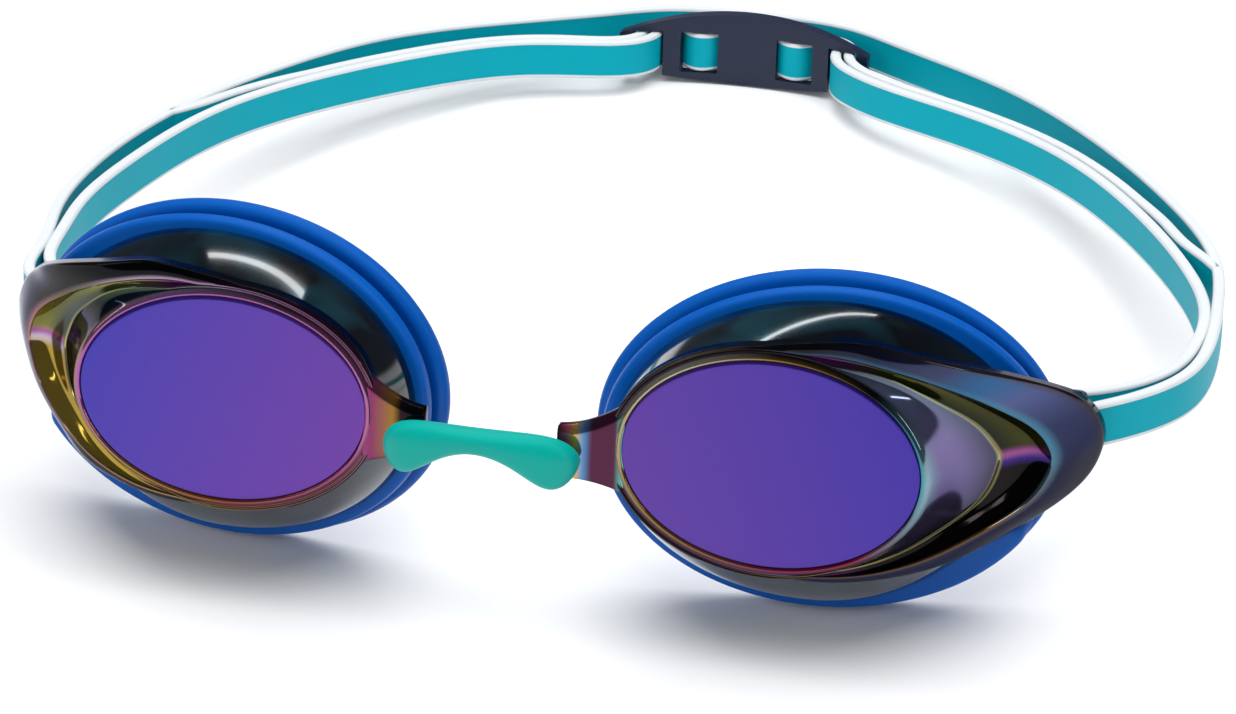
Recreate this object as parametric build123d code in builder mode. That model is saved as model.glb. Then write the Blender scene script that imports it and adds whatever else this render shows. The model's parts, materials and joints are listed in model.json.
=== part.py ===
from build123d import *
from math import atan2, cos, degrees, radians, sin
import os

# Swim goggles: two mirrored eye cups joined by a soft nose bridge and held by
# a silicone head strap that runs to a clip behind the head.
# Millimetres, +Z up, the lens faces look along -Y. Right and left in the names
# are as seen by someone who looks at the lens faces, so right is +X.
# The goggles rest on the lower edges of both gaskets and on the lower edge of
# the clip, with the lens faces tipped up a little. The origin is on that
# surface, at the middle of the footprint.

# ---- driving dimensions -------------------------------------------------
lens_spacing = 68.0        # between the two lens centres
lens_width = 36.4          # flat oval lens face
lens_height = 25.4
lens_thickness = 1.6
cup_depth = 14.3           # lens face to the gasket, at the lens centre
cup_wall = 1.3
wing_reach = 35.0          # lens centre to the temple end of the frame
wing_sweep = 27.7          # how far the temple end lies behind the lens face
plate_thickness = 2.0
gasket_width = 55.4        # front flange of the gasket
gasket_height = 41.4
rear_flange_grow = 0.9     # the rear flange is this much bigger all round
flange_thickness = 2.3
gasket_neck = 1.4          # gap between the two flanges
gasket_offset_x = 4.4      # the gasket sits further out than the lens
gasket_drop = 3.0          # and lower
gasket_yaw = 8.4           # its temple side is further back, degrees
bridge_length = 24.0       # soft nose bridge, end to end
bridge_thickness = 3.2
bridge_stand = 1.6         # bridge ends, in front of the lens face
bridge_bow = 1.6           # middle of the bridge, further forward than its ends
strap_height = 5.8
strap_thickness = 1.6
strap_half_width = 79.1    # widest point of the outer strap layer, from the middle
strap_reach = 157.6        # lens face to the inner face of the clip
clip_width = 37.4
clip_height = 10.7
clip_thickness = 2.2
clip_shift = -2.9          # the strap is worn with the clip a little off centre
clip_rise = 1.5            # clip centre above the lens centres, in the lens frame
back_rise = 1.9            # outer strap layer at the clip, above the lens centres
inner_rise = 0.6           # inner strap layers at the clip
fit_gap = 0.15             # between pieces that fit together
soft_gap = 0.3             # between soft pieces that lie side by side

# ---- values worked out from them ----------------------------------------
lens_x = lens_spacing / 2
rear_depth = cup_depth + 2 * flange_thickness + gasket_neck
rear_half_height = gasket_height / 2 + rear_flange_grow
# the tip that brings the gaskets and the clip down to one surface
tip = atan2(rear_half_height + gasket_drop + clip_rise - clip_height / 2,
            strap_reach + clip_thickness - rear_depth)
front_most = bridge_stand + bridge_bow + bridge_thickness
crown_depth = strap_reach + 9.1
half_depth = (front_most * cos(tip) + crown_depth * cos(tip) + 4 * sin(tip)) / 2
home_y = front_most * cos(tip) - half_depth
home_z = rear_depth * sin(tip) + (rear_half_height + gasket_drop) * cos(tip)


def in_lens_frame(x, depth, height):
    """Point from the tipped lens frame: x, depth behind the lens face, height."""
    return Vector(x, home_y + depth * cos(tip) + height * sin(tip),
                  home_z - depth * sin(tip) + height * cos(tip))


def front_plane(depth=0.0):
    """Plane parallel to the lens faces, facing forwards, local y upwards."""
    return Plane(in_lens_frame(0, depth, 0), x_dir=(1, 0, 0), z_dir=(0, -cos(tip), sin(tip)))


def plan_plane(height=0.0):
    """Plane square to the lens faces, facing up, local y to the rear."""
    return Plane(in_lens_frame(0, 0, height), x_dir=(1, 0, 0), z_dir=(0, sin(tip), cos(tip)))


def gasket_plane(depth):
    """Plane of the gasket at a depth, turned so that the temple side is further back."""
    turn = radians(gasket_yaw)
    facing = Vector(sin(turn), -cos(turn) * cos(tip), cos(turn) * sin(tip))
    along = Vector(cos(turn), sin(turn) * cos(tip), -sin(turn) * sin(tip))
    middle = in_lens_frame(lens_x + gasket_offset_x, depth, -gasket_drop)
    return Plane(middle, x_dir=along, z_dir=facing)


def shifted(path, distance):
    """The points of a plan path moved sideways, to the right of its direction."""
    points = list(path)
    last = len(points) - 1
    moved = []
    for i, point in enumerate(points):
        along = (points[min(i + 1, last)] - points[max(i - 1, 0)]).normalized()
        moved.append(point + Vector(along.Y, -along.X) * distance)
    return moved


# ---- frame: eye cup, swept front plate, nose bracket and strap post ------
plate_flat = 9.0                      # the plate is flat out to here, from the lens centre
sweep_run = wing_reach - plate_flat
sweep_slope = Vector(1, 2 * wing_sweep / sweep_run).normalized()
plate_end = Vector(lens_x + wing_reach, wing_sweep)
plate_end_back = plate_end + Vector(-sweep_slope.Y, sweep_slope.X) * plate_thickness
back_bend_x = plate_end_back.X - (plate_end_back.Y - plate_thickness) * sweep_slope.X / sweep_slope.Y
rim = 1.2                             # frame left round the lens
nose_x = lens_x - lens_width / 2 - rim
post_x = lens_x + wing_reach - 3.2
post_depth = wing_sweep + 4.3
post_radius = 1.3
post_height = -2.0                    # middle of the post, from the lens centre
lug_gap = strap_height + 2 * fit_gap + 0.4
lug_thickness = 1.3
bracket_low, bracket_high = -5.4, 2.6
peg_width, peg_height, peg_length = 2.6, 3.2, 2.2
peg_x = bridge_length / 2 - 2.6
seat_half_width = gasket_width / 2 - 2.7
seat_half_height = gasket_height / 2 - 2.7

with BuildPart() as cup_shell:
    # cup wall from the lens back to the gasket
    with BuildSketch(front_plane(0.9)):
        with Locations((lens_x, 0)):
            Ellipse(lens_width / 2 + rim, lens_height / 2 + rim)
    with BuildSketch(gasket_plane(cup_depth)):
        Ellipse(seat_half_width, seat_half_height)
    loft()
    # hollow inside, open at the back
    with BuildSketch(front_plane(0.9 + lens_thickness)):
        with Locations((lens_x, 0)):
            Ellipse(lens_width / 2 - 0.6, lens_height / 2 - 0.6)
    with BuildSketch(gasket_plane(cup_depth + 0.01)):
        Ellipse(seat_half_width - cup_wall, seat_half_height - cup_wall)
    loft(mode=Mode.SUBTRACT)

with BuildPart() as swept_plate:
    # as seen from above
    with BuildSketch(plan_plane(-lens_height)):
        with BuildLine():
            Line((nose_x, plate_thickness), (nose_x, 0.3))
            Line((nose_x, 0.3), (lens_x + plate_flat, 0.3))
            Bezier((lens_x + plate_flat, 0.3), (lens_x + plate_flat + sweep_run / 2, 0.3), plate_end)
            Line(plate_end, plate_end_back)
            Bezier(plate_end_back, (back_bend_x, plate_thickness), (lens_x + plate_flat, plate_thickness))
            Line((lens_x + plate_flat, plate_thickness), (nose_x, plate_thickness))
        make_face()
    extrude(amount=2 * lens_height)
    # its outline, as seen from the front
    with BuildSketch(front_plane(-1)):
        half_w, half_h = lens_width / 2 + rim, lens_height / 2 + rim
        end_x = lens_x + wing_reach + 0.4
        with BuildLine():
            Spline((lens_x - half_w, 0), (lens_x - 2, half_h + 0.6), (lens_x + 12, half_h + 1.4),
                   (lens_x + 0.66 * wing_reach, half_h - 2.2), (end_x, post_height + 3.0),
                   tangents=((0, 1), (0.7, -0.8)))
            Line((end_x, post_height + 3.0), (end_x, post_height - 3.8))
            Spline((end_x, post_height - 3.8), (lens_x + 0.66 * wing_reach, 1.6 - half_h),
                   (lens_x + 10, -half_h - 0.3), (lens_x - 3, -half_h), (lens_x - half_w, 0),
                   tangents=((-0.8, -0.6), (0, 1)))
        make_face()
    extrude(amount=-(wing_sweep + 6), mode=Mode.INTERSECT)

with BuildPart() as right_frame:
    add(cup_shell.part)
    add(swept_plate.part)
    # strap post between two lugs behind the temple end
    with BuildSketch(plan_plane(post_height - lug_gap / 2 - lug_thickness)):
        with BuildLine():
            Polyline((post_x + 0.6, post_depth - 8.0), (post_x + 2.6, post_depth - 4.6),
                     (post_x + 1.4, post_depth + 0.6), (post_x - 0.8, post_depth + 1.4),
                     (post_x - 1.9, post_depth - 1.5), close=True)
        make_face()
    extrude(amount=lug_gap + 2 * lug_thickness)
    with BuildSketch(plan_plane(post_height - lug_gap / 2)):
        with Locations((post_x - 0.6, post_depth)):
            Rectangle(9.2, 8.4, align=(Align.CENTER, Align.CENTER))
    extrude(amount=lug_gap, mode=Mode.SUBTRACT)
    with BuildSketch(plan_plane(post_height - lug_gap / 2 - lug_thickness)):
        with Locations((post_x, post_depth)):
            Circle(post_radius)
    extrude(amount=lug_gap + 2 * lug_thickness)
    # nose bracket, stepping forward from the rim to the bridge
    with BuildSketch(plan_plane(bracket_low)):
        with BuildLine():
            Polyline((nose_x + 2.2, 0.6), (nose_x - 0.5, 0.1), (bridge_length / 2 + 0.3, -bridge_stand + 0.4),
                     (peg_x - 2.6, -bridge_stand + fit_gap), (peg_x - 2.6, 2.6), (nose_x + 2.2, 3.4), close=True)
        make_face()
    extrude(amount=bracket_high - bracket_low)
    # through opening, the lens seat and the socket for the bridge
    with BuildSketch(front_plane(-2)):
        with Locations((lens_x, 0)):
            Ellipse(lens_width / 2, lens_height / 2)
    extrude(amount=-(2 + lens_thickness), mode=Mode.SUBTRACT)
    with BuildSketch(front_plane(lens_thickness - 0.1)):
        with Locations((lens_x, 0)):
            Ellipse(lens_width / 2 - 0.8, lens_height / 2 - 0.8)
    extrude(amount=-1.4, mode=Mode.SUBTRACT)
    with BuildSketch(front_plane(-bridge_stand - 1)):
        with Locations((peg_x, (bracket_low + bracket_high) / 2)):
            Rectangle(peg_width + 2 * fit_gap, peg_height + 2 * fit_gap)
    extrude(amount=-(peg_length + 1 + 2 * fit_gap), mode=Mode.SUBTRACT)
right_frame.part.label = "right_frame"

with BuildPart() as left_frame:
    mirror(right_frame.part, about=Plane.YZ)
left_frame.part.label = "left_frame"

# ---- lens: flat oval pane seated in the frame ---------------------------
with BuildPart() as right_lens:
    with BuildSketch(front_plane(0)):
        with Locations((lens_x, 0)):
            Ellipse(lens_width / 2 - 0.05, lens_height / 2 - 0.05)
    extrude(amount=-(lens_thickness - 0.05))
    chamfer(right_lens.faces().sort_by(Axis.Y)[0].edges(), 0.2)
right_lens.part.label = "right_lens"

with BuildPart() as left_lens:
    mirror(right_lens.part, about=Plane.YZ)
left_lens.part.label = "left_lens"

# ---- gasket: two flanges joined by a neck, open right through -----------
back_gap = Vector(-sweep_slope.Y, sweep_slope.X) * soft_gap
opening_half_width = seat_half_width - cup_wall - 2.4
opening_half_height = seat_half_height - cup_wall - 2.4
rear_start = cup_depth + flange_thickness + gasket_neck
with BuildPart() as right_gasket:
    with BuildSketch(gasket_plane(cup_depth + 0.02)):
        Ellipse(gasket_width / 2, gasket_height / 2)
    extrude(amount=-flange_thickness)
    with BuildSketch(gasket_plane(cup_depth + flange_thickness)):
        Ellipse(gasket_width / 2 - 2.4, gasket_height / 2 - 2.4)
    extrude(amount=-gasket_neck - 0.1)
    with BuildSketch(gasket_plane(rear_start)):
        Ellipse(gasket_width / 2 + rear_flange_grow, gasket_height / 2 + rear_flange_grow)
    extrude(amount=-flange_thickness)
    with BuildSketch(gasket_plane(cup_depth - 1)):
        Ellipse(opening_half_width, opening_half_height)
    with BuildSketch(gasket_plane(rear_start + flange_thickness + 1)):
        Ellipse(opening_half_width + 1, opening_half_height + 1)
    loft(mode=Mode.SUBTRACT)
    # the temple end stops short of the swept plate
    with BuildSketch(plan_plane(post_height - 10)):
        with BuildLine():
            Bezier(plate_end_back + back_gap, (back_bend_x, plate_thickness + fit_gap),
                   (lens_x + plate_flat, plate_thickness + fit_gap))
            Line((lens_x + plate_flat, plate_thickness + fit_gap), (lens_x + plate_flat, 0))
            Line((lens_x + plate_flat, 0), (lens_x + wing_reach + 10, 0))
            Line((lens_x + wing_reach + 10, 0), (lens_x + wing_reach + 10, wing_sweep + 2))
            Line((lens_x + wing_reach + 10, wing_sweep + 2), plate_end_back + back_gap)
        make_face()
    extrude(amount=22, mode=Mode.SUBTRACT)
right_gasket.part.label = "right_gasket"

with BuildPart() as left_gasket:
    mirror(right_gasket.part, about=Plane.YZ)
left_gasket.part.label = "left_gasket"

# ---- nose bridge: bowed soft band with deeper rounded ends and two pegs --
end_half = bridge_length / 2
with BuildPart() as nose_bridge:
    with BuildSketch(plan_plane(-8)):
        with BuildLine():
            ThreePointArc((-end_half, -bridge_stand), (0, -bridge_stand - bridge_bow), (end_half, -bridge_stand))
            Line((end_half, -bridge_stand), (end_half, -bridge_stand - bridge_thickness))
            ThreePointArc((end_half, -bridge_stand - bridge_thickness), (0, -front_most),
                          (-end_half, -bridge_stand - bridge_thickness))
            Line((-end_half, -bridge_stand - bridge_thickness), (-end_half, -bridge_stand))
        make_face()
    extrude(amount=16)
    with BuildSketch(front_plane(-front_most - 1)):
        with BuildLine():
            Spline((0, 2.4), (0.55 * end_half, 2.2), (end_half, -0.6), (0.7 * end_half, -4.6), (0.3 * end_half, -2.6),
                   (0, -1.7), tangents=((1, 0), (-1, 0)))
            Spline((0, -1.7), (-0.3 * end_half, -2.6), (-0.7 * end_half, -4.6), (-end_half, -0.6),
                   (-0.55 * end_half, 2.2), (0, 2.4), tangents=((-1, 0), (1, 0)))
        make_face()
    extrude(amount=-(front_most + 2), mode=Mode.INTERSECT)
    with BuildSketch(front_plane(-bridge_stand - 1)):
        with Locations((peg_x, (bracket_low + bracket_high) / 2), (-peg_x, (bracket_low + bracket_high) / 2)):
            Rectangle(peg_width, peg_height)
    extrude(amount=-(peg_length + 1))
nose_bridge.part.label = "nose_bridge"

# ---- clip: bowed plate with two windows and two end slots ----------------
clip_bow = 50.0
window_width, window_height = 5.6, 6.2
window_x = 7.2
slot_width, slot_height = 4.4, 6.2
slot_x = 14.7


def clip_face(x):
    """Depth of the clip's inner face at a distance from its middle."""
    return strap_reach - x * x / (2 * clip_bow)


with BuildPart() as strap_clip:
    left_end, right_end = clip_shift - clip_width / 2, clip_shift + clip_width / 2
    end_face = clip_face(clip_width / 2)
    # bowed sheet, as seen from above
    with BuildSketch(plan_plane(clip_rise - clip_height)):
        with BuildLine():
            ThreePointArc((left_end, end_face), (clip_shift, strap_reach), (right_end, end_face))
            Line((right_end, end_face), (right_end, end_face + clip_thickness))
            ThreePointArc((right_end, end_face + clip_thickness), (clip_shift, strap_reach + clip_thickness),
                          (left_end, end_face + clip_thickness))
            Line((left_end, end_face + clip_thickness), (left_end, end_face))
        make_face()
    extrude(amount=2 * clip_height)
    # outline, as seen from the front: arched top, flatter bottom
    tip_half = 0.18 * clip_height
    foot_half = clip_width / 2 - 5.0
    with BuildSketch(front_plane(strap_reach - 12)):
        with BuildLine():
            ThreePointArc((left_end, clip_rise + tip_half), (clip_shift, clip_rise + clip_height / 2),
                          (right_end, clip_rise + tip_half))
            Line((right_end, clip_rise + tip_half), (right_end, clip_rise - 2 * tip_half))
            Line((right_end, clip_rise - 2 * tip_half), (clip_shift + foot_half, clip_rise - 0.42 * clip_height))
            ThreePointArc((clip_shift + foot_half, clip_rise - 0.42 * clip_height),
                          (clip_shift, clip_rise - clip_height / 2),
                          (clip_shift - foot_half, clip_rise - 0.42 * clip_height))
            Line((clip_shift - foot_half, clip_rise - 0.42 * clip_height), (left_end, clip_rise - 2 * tip_half))
            Line((left_end, clip_rise - 2 * tip_half), (left_end, clip_rise + tip_half))
        make_face()
    extrude(amount=-20, mode=Mode.INTERSECT)
    # windows, and end slots that are open below
    with BuildSketch(front_plane(strap_reach - 12)):
        with Locations((clip_shift - window_x, inner_rise), (clip_shift + window_x, inner_rise)):
            RectangleRounded(window_width, window_height, 0.25)
        with Locations((clip_shift - slot_x, inner_rise + slot_height / 2),
                       (clip_shift + slot_x, inner_rise + slot_height / 2)):
            Rectangle(slot_width, 2 * slot_height, align=(Align.CENTER, Align.MAX))
    extrude(amount=-20, mode=Mode.SUBTRACT)
strap_clip.part.label = "strap_clip"

# ---- strap: one moulding, drawn as the layers and runs that it lies in ----
# Local x and y of the strap's plane: across, and to the rear from the strap posts.
turn_radius = post_radius + soft_gap + strap_thickness / 2
way_out = Vector(1, 1).normalized()       # direction in which both layers leave a post
across_way = Vector(way_out.Y, -way_out.X)
layer_pitch = strap_thickness + soft_gap
clip_run = strap_reach - post_depth       # from the posts to the clip's inner crown


def band_plane(rise):
    """Plane of a layer's lower edge, from the posts to a height at the clip."""
    tilt = tip - atan2(rise - post_height, clip_run)
    up = Vector(0, sin(tilt), cos(tilt))
    return Plane(in_lens_frame(0, post_depth, post_height) - up * (strap_height / 2), x_dir=(1, 0, 0), z_dir=up)


def at_post(offset, ahead=0.0):
    """Point beside a post: sideways from its centre, and along the way out."""
    return Vector(post_x, 0) + across_way * offset + way_out * ahead


def laid(shares):
    """Points given as shares of the strap's half width and of the way to the clip."""
    return [Vector(across * strap_half_width, along * clip_run) for across, along in shares]


def by_clip(side, points):
    """Points given from the clip's middle and behind its crown, on one side."""
    return [Vector(side * clip_shift + out, clip_run + behind) for out, behind in points]


def band(path, side, rise):
    """Sketch of a band of even thickness along a path, on one side."""
    near = [Vector(side * p.X, p.Y) for p in shifted(path, strap_thickness / 2)]
    far = [Vector(side * p.X, p.Y) for p in shifted(path, -strap_thickness / 2)]
    with BuildSketch(band_plane(rise)) as outline:
        with BuildLine():
            Spline(*near)
            Line(near[-1], far[-1])
            Spline(*reversed(far))
            Line(far[0], near[0])
        make_face()
    return outline.sketch


# Where the layers lie, right (1) and left (-1): shares of the half width and of the way to the clip.
outer_shares = {1: [(0.981, 0.1), (1.0, 0.183), (0.991, 0.299)],
                -1: [(0.978, 0.1), (1.0, 0.22), (0.996, 0.35), (0.972, 0.47)]}
fork_share = {1: (0.962, 0.422), -1: (0.918, 0.593)}
back_shares = {1: [(0.863, 0.573), (0.666, 0.77), (0.475, 0.904)], -1: [(0.834, 0.713), (0.69, 0.852)]}
inner_shares = {1: [(0.94, 0.115), (0.967, 0.19), (0.968, 0.295), (0.913, 0.403), (0.793, 0.567), (0.6, 0.736),
                    (0.394, 0.836)],
                -1: [(0.94, 0.135), (0.958, 0.23), (0.943, 0.39), (0.87, 0.588), (0.738, 0.732), (0.598, 0.836),
                     (0.442, 0.91)]}
inner_to_clip = {1: [(18.2, -10.0), (14.6, -5.1)], -1: [(22.1, -8.6), (15.3, -5.1)]}
inner_in_slot = [(13.7, -1.3), (13.4, 1.6), (11.2, 3.3), (7.0, 3.7), (3.4, 3.9)]
branch_to_clip = {1: [(16.3, -4.0)], -1: [(16.5, -3.7)]}
branch_in_slot = [(15.6, -1.2), (15.3, 1.8), (12.4, 4.7), (7.0, 5.7), (3.4, 5.9)]
back_at_clip = {1: [(21.6, 2.2), (14.4, 6.9)], -1: [(21.9, 2.2), (14.4, 6.9)]}
crown = Vector(clip_shift, clip_run + 8.6)

inner_paths = {}
outer_paths = {}
branch_paths = {}
for side in (1, -1):
    inner_lead = [at_post(-turn_radius, 0.1), at_post(-turn_radius, 1.6), at_post(-turn_radius, 3.2)]
    inner_run = laid(inner_shares[side]) + by_clip(side, inner_to_clip[side])
    inner_paths[side] = inner_lead + inner_run + by_clip(side, inner_in_slot)
    outer_lead = [at_post(turn_radius), at_post(turn_radius, 1.6), at_post(turn_radius, 3.2)]
    outer_paths[side] = outer_lead + laid(outer_shares[side] + [fork_share[side]])
    # the branch leaves the fork and then lies against the inner layer
    fork = laid([fork_share[side]])[0]
    inner_line = Spline(*(inner_lead + inner_run + by_clip(side, inner_in_slot[:1])))
    samples = [inner_line @ (i / 20) for i in range(21)]
    beside = [p for p in shifted(samples, layer_pitch) if fork.Y + 6 < p.Y < clip_run - 7]
    branch_start = shifted(outer_paths[side], -layer_pitch)[-1]
    branch_paths[side] = [branch_start] + beside + by_clip(side, branch_to_clip[side] + branch_in_slot)


def turn_sketch(side):
    """Half ring of the strap round the front of a post."""
    heading = degrees(atan2(way_out.Y, side * way_out.X))
    with BuildSketch(band_plane(back_rise)) as ring:
        with Locations((side * post_x, 0)):
            Circle(turn_radius + strap_thickness / 2)
            Circle(turn_radius - strap_thickness / 2, mode=Mode.SUBTRACT)
        with Locations(Location((side * post_x, 0), heading)):
            Rectangle(4 * turn_radius, 4 * turn_radius, align=(Align.MIN, Align.CENTER), mode=Mode.SUBTRACT)
    return ring.sketch


def window_bump(side):
    """The strap's end pushed forward through the clip's window."""
    with BuildSketch(band_plane(inner_rise)) as bump:
        with Locations((clip_shift + side * window_x, clip_run + 1.9)):
            Circle(window_width / 2 - fit_gap)
    return bump.sketch


with BuildPart() as right_strap_root:
    add(band(outer_paths[1], 1, back_rise))
    add(turn_sketch(1))
    extrude(amount=strap_height, dir=band_plane(back_rise).z_dir)
right_strap_root.part.label = "right_strap_root"

with BuildPart() as left_strap_root:
    add(band(outer_paths[-1], -1, back_rise))
    add(turn_sketch(-1))
    extrude(amount=strap_height, dir=band_plane(back_rise).z_dir)
left_strap_root.part.label = "left_strap_root"

with BuildPart() as right_strap_end:
    add(band(inner_paths[1], 1, inner_rise))
    add(window_bump(1))
    extrude(amount=strap_height, dir=band_plane(inner_rise).z_dir)
right_strap_end.part.label = "right_strap_end"

with BuildPart() as left_strap_end:
    add(band(inner_paths[-1], -1, inner_rise))
    add(window_bump(-1))
    extrude(amount=strap_height, dir=band_plane(inner_rise).z_dir)
left_strap_end.part.label = "left_strap_end"

with BuildPart() as right_strap_branch:
    add(band(branch_paths[1], 1, inner_rise))
    extrude(amount=strap_height, dir=band_plane(inner_rise).z_dir)
right_strap_branch.part.label = "right_strap_branch"

with BuildPart() as left_strap_branch:
    add(band(branch_paths[-1], -1, inner_rise))
    extrude(amount=strap_height, dir=band_plane(inner_rise).z_dir)
left_strap_branch.part.label = "left_strap_branch"


def back_half(side):
    """Path of the outer layer from just behind the fork to beside the clip."""
    fork = laid([fork_share[side]])[0]
    ahead = laid(back_shares[side])[0]
    start = fork + (ahead - fork).normalized() * soft_gap
    return [start] + laid(back_shares[side]) + by_clip(side, back_at_clip[side])


back_path = back_half(1) + [crown] + [Vector(-p.X, p.Y) for p in reversed(back_half(-1))]
with BuildPart() as strap_back:
    add(band(back_path, 1, back_rise))
    extrude(amount=strap_height, dir=band_plane(back_rise).z_dir)
strap_back.part.label = "strap_back"

# ---- write one file per node ---------------------------------------------
os.makedirs("parts", exist_ok=True)
export_step(right_frame.part, "parts/right_frame.step")
export_step(left_frame.part, "parts/left_frame.step")
export_step(right_lens.part, "parts/right_lens.step")
export_step(left_lens.part, "parts/left_lens.step")
export_step(right_gasket.part, "parts/right_gasket.step")
export_step(left_gasket.part, "parts/left_gasket.step")
export_step(nose_bridge.part, "parts/nose_bridge.step")
export_step(strap_clip.part, "parts/strap_clip.step")
export_step(right_strap_root.part, "parts/right_strap_root.step")
export_step(left_strap_root.part, "parts/left_strap_root.step")
export_step(right_strap_end.part, "parts/right_strap_end.step")
export_step(left_strap_end.part, "parts/left_strap_end.step")
export_step(right_strap_branch.part, "parts/right_strap_branch.step")
export_step(left_strap_branch.part, "parts/left_strap_branch.step")
export_step(strap_back.part, "parts/strap_back.step")
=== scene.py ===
import json
import math
import bmesh
import bpy
import numpy as np
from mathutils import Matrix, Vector


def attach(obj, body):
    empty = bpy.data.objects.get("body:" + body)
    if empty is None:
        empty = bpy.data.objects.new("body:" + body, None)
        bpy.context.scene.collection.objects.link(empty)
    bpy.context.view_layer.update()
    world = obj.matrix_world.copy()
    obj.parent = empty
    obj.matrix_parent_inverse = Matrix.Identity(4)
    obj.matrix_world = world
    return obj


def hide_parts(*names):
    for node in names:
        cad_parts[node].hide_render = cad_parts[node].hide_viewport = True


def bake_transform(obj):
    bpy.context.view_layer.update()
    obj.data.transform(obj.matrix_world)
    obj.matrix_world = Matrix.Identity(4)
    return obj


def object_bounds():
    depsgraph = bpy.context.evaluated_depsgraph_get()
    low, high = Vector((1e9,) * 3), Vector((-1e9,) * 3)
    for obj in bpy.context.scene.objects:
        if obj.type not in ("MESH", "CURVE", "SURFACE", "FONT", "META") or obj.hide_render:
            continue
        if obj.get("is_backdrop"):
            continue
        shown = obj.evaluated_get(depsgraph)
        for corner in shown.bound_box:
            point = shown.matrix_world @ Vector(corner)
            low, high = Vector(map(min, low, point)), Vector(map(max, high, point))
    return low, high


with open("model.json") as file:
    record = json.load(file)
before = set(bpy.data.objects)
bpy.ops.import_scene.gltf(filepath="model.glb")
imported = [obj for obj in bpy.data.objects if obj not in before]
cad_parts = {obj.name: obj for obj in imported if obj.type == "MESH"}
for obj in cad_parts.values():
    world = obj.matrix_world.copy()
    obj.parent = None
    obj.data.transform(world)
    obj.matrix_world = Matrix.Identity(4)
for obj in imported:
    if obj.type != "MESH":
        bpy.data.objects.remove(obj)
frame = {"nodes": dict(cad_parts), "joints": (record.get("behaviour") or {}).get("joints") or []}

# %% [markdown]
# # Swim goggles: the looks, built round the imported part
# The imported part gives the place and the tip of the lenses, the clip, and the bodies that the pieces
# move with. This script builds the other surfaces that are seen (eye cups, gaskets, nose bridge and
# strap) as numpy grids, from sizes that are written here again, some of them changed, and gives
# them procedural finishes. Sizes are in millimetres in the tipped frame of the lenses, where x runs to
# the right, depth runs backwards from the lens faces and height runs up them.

MM = 0.001
cad_low, cad_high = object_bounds()
print("box of the part in mm:", [round((b - a) / MM, 1) for a, b in zip(cad_low, cad_high)])

# %% [markdown]
# ## The frame of the lenses
# The lens faces are tipped up a little, because the goggles stand on their gaskets and on the clip.
# The swivel joint at the nose tells both things that are needed: its axis is the up direction of the
# lenses, and its place is a known point beside the bridge.

# %% Lens frame to row frame
swivel = next(j for j in frame["joints"] if j["name"] == "right_cup_swivel")
TIP = math.atan2(swivel["axis"][1], swivel["axis"][2])
HINGE_DEPTH, HINGE_HEIGHT = -1.6, -1.4      # where the swivel lies in the lens frame
home_y = swivel["pos_m"][1] / MM - HINGE_DEPTH * math.cos(TIP) - HINGE_HEIGHT * math.sin(TIP)
home_z = swivel["pos_m"][2] / MM + HINGE_DEPTH * math.sin(TIP) - HINGE_HEIGHT * math.cos(TIP)
print("tip of the lenses:", round(math.degrees(TIP), 2), "degrees")
print("lens centres in mm:", round(home_y, 2), round(home_z, 2))


def to_row(x, depth, height):
    """Points in the row frame, in metres: depth and height are turned about X by the tip of the lenses."""
    x, depth, height = np.broadcast_arrays(x, depth, height)
    y = home_y + depth * math.cos(TIP) + height * math.sin(TIP)
    z = home_z - depth * math.sin(TIP) + height * math.cos(TIP)
    return np.stack([x, y, z], axis=-1) * MM


# %% [markdown]
# ## Helpers: smooth paths, grids and meshes
# A natural cubic spline is the curve that a thin springy strip takes when it is held at a few points,
# so it suits both the strap and the swept edges of the frame. Every piece is then a grid of points
# with two directions, rows and columns, which becomes quads.


# %% Smooth path
def smooth_path(points, count):
    """Points evenly spaced by parameter on the natural cubic spline through the given points.

    The parameter is the summed chord length, and the second derivatives solve one linear system."""
    p = np.asarray(points, float)
    t = np.concatenate([[0.0], np.cumsum(np.linalg.norm(np.diff(p, axis=0), axis=1))])
    step = np.diff(t)
    slope = np.diff(p, axis=0) / step[:, None]
    system = np.eye(len(p))
    right = np.zeros_like(p)
    inner = np.arange(1, len(p) - 1)
    system[inner, inner - 1] = step[:-1]
    system[inner, inner] = 2 * (step[:-1] + step[1:])
    system[inner, inner + 1] = step[1:]
    right[1:-1] = 6 * np.diff(slope, axis=0)
    bend = np.linalg.solve(system, right)
    at = np.linspace(0, t[-1], count)
    k = np.clip(np.searchsorted(t, at, side="right") - 1, 0, len(step) - 1)
    a, b, h = (t[k + 1] - at)[:, None], (at - t[k])[:, None], step[k][:, None]
    return (bend[k] * a**3 + bend[k + 1] * b**3) / (6 * h) + (p[k] / h - bend[k] * h / 6) * a + (
        p[k + 1] / h - bend[k + 1] * h / 6) * b


# %% Colours and grid to mesh
def linear(text):
    """Linear red, green and blue from an sRGB hex colour such as '04a9a0'."""
    c = np.array([int(text[i:i + 2], 16) for i in (0, 2, 4)]) / 255
    return np.where(c <= 0.04045, c / 12.92, ((c + 0.055) / 1.055) ** 2.4)


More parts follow.
